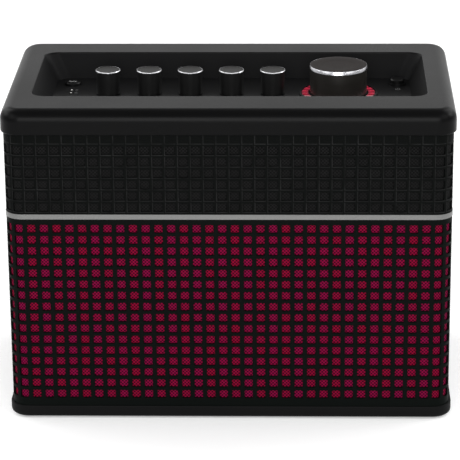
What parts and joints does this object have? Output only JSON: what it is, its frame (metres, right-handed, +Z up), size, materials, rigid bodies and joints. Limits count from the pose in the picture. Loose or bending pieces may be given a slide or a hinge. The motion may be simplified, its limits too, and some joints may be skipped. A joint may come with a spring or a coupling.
{
  "type": "desktop guitar amplifier",
  "caption": "Desktop guitar amplifier with a black and red square-patterned grille, a silver strip and a sunken control well of knobs in the lid.",
  "frame": {"origin": "middle of the footprint on the surface that the feet stand on", "axes": "+X to the right as the front is seen, +Y to the rear, +Z up"},
  "size_m": [0.3146, 0.1801, 0.2313],
  "materials": {
    "lid_plastic": "satin black",
    "panel_plastic": "satin black",
    "cabinet_plastic": "matt black",
    "band_plastic": "matt black, embossed with a square pattern",
    "strip_metal": "satin silver",
    "lattice_fabric": "black woven lattice with square windows",
    "cloth_red": "deep red woven cloth",
    "tray_plastic": "matt black",
    "rubber": "matt black",
    "knob_black": "black with a bright machined bevel",
    "volume_black": "dark satin top",
    "trim_metal": "polished bevel",
    "shaft_steel": "plain",
    "pot_metal": "plated case",
    "nut_steel": "plated",
    "circuit_board": "green solder mask",
    "lens_red": "translucent red light ring",
    "led_clear": "clear lamp",
    "button_black": "black",
    "baffle_board": "plain board",
    "frame_steel": "black steel pressing",
    "magnet": "plain",
    "cone_paper": "pressed paper",
    "surround_rubber": "matt",
    "screw_black": "blackened",
    "heat_sink_metal": "plain",
    "socket_plastic": "black",
    "nylon": "white nylon"
  },
  "bodies": {
    "root": {"lid": "lid_plastic", "lid_screws": "screw_black", "panel_screws": "screw_black", "control_panel": "panel_plastic", "led_ring_lens": "lens_red", "status_leds": "led_clear", "tone_pots": "pot_metal", "volume_encoder": "pot_metal", "pot_nuts": "nut_steel", "button_switches": "socket_plastic", "control_board": "circuit_board", "upper_band": "band_plastic", "trim_strip": "strip_metal", "lower_grille": "lattice_fabric", "grille_cloth": "cloth_red", "rear_screws": "screw_black", "foot_screws": "screw_black", "cabinet_shell": "cabinet_plastic", "base_tray": "tray_plastic", "rubber_feet": "rubber", "speaker_screws": "screw_black", "front_baffle": "baffle_board", "guitar_jack": "socket_plastic", "phones_jack": "socket_plastic", "aux_jack": "socket_plastic", "dc_inlet": "socket_plastic", "usb_socket": "socket_plastic", "jack_nuts": "nut_steel", "bass_port": "cabinet_plastic", "rear_panel": "cabinet_plastic", "board_standoffs": "nylon", "main_board": "circuit_board", "heat_sink": "heat_sink_metal", "left_speaker_frame": "frame_steel", "left_speaker_magnet": "magnet", "left_speaker_surround": "surround_rubber", "right_speaker_frame": "frame_steel", "right_speaker_magnet": "magnet", "right_speaker_surround": "surround_rubber"},
    "drive_control": {"drive_knob": "knob_black", "drive_shaft": "shaft_steel"},
    "bass_control": {"bass_knob": "knob_black", "bass_shaft": "shaft_steel"},
    "middle_control": {"middle_knob": "knob_black", "middle_shaft": "shaft_steel"},
    "treble_control": {"treble_knob": "knob_black", "treble_shaft": "shaft_steel"},
    "reverb_control": {"reverb_knob": "knob_black", "reverb_shaft": "shaft_steel"},
    "volume_control": {"volume_knob": "volume_black", "volume_knob_trim": "trim_metal", "volume_shaft": "shaft_steel"},
    "tone_key": {"tone_button": "button_black"},
    "power_key": {"power_button": "button_black"},
    "left_cone": {"left_speaker_cone": "cone_paper", "left_dust_cap": "cone_paper"},
    "right_cone": {"right_speaker_cone": "cone_paper", "right_dust_cap": "cone_paper"}
  },
  "joints": [
    {"name": "drive_turn", "type": "hinge", "parent": "root", "child": "drive_control", "pos_m": [-0.0896, 0.0185, 0.21], "axis": [0, 0, 1], "range_deg": [-150, 150]},
    {"name": "bass_turn", "type": "hinge", "parent": "root", "child": "bass_control", "pos_m": [-0.0598, 0.0185, 0.21], "axis": [0, 0, 1], "range_deg": [-150, 150]},
    {"name": "middle_turn", "type": "hinge", "parent": "root", "child": "middle_control", "pos_m": [-0.03, 0.0185, 0.21], "axis": [0, 0, 1], "range_deg": [-150, 150]},
    {"name": "treble_turn", "type": "hinge", "parent": "root", "child": "treble_control", "pos_m": [-0.0002, 0.0185, 0.21], "axis": [0, 0, 1], "range_deg": [-150, 150]},
    {"name": "reverb_turn", "type": "hinge", "parent": "root", "child": "reverb_control", "pos_m": [0.0296, 0.0185, 0.21], "axis": [0, 0, 1], "range_deg": [-150, 150]},
    {"name": "volume_turn", "type": "hinge", "parent": "root", "child": "volume_control", "pos_m": [0.077, 0.0185, 0.21], "axis": [0, 0, 1], "continuous": true},
    {"name": "tone_press", "type": "slide", "parent": "root", "child": "tone_key", "axis": [0, 0, -1], "range_m": [0, 0.001], "stiffness_N_per_m": 800, "springref_m": -0.0005},
    {"name": "power_press", "type": "slide", "parent": "root", "child": "power_key", "axis": [0, 0, -1], "range_m": [0, 0.0015], "stiffness_N_per_m": 700, "springref_m": -0.0006},
    {"name": "left_cone_travel", "type": "slide", "parent": "root", "child": "left_cone", "axis": [0, -1, 0], "range_m": [-0.002, 0.002], "stiffness_N_per_m": 1500},
    {"name": "right_cone_travel", "type": "slide", "parent": "root", "child": "right_cone", "axis": [0, -1, 0], "range_m": [-0.002, 0.002], "stiffness_N_per_m": 1500}
  ]
}
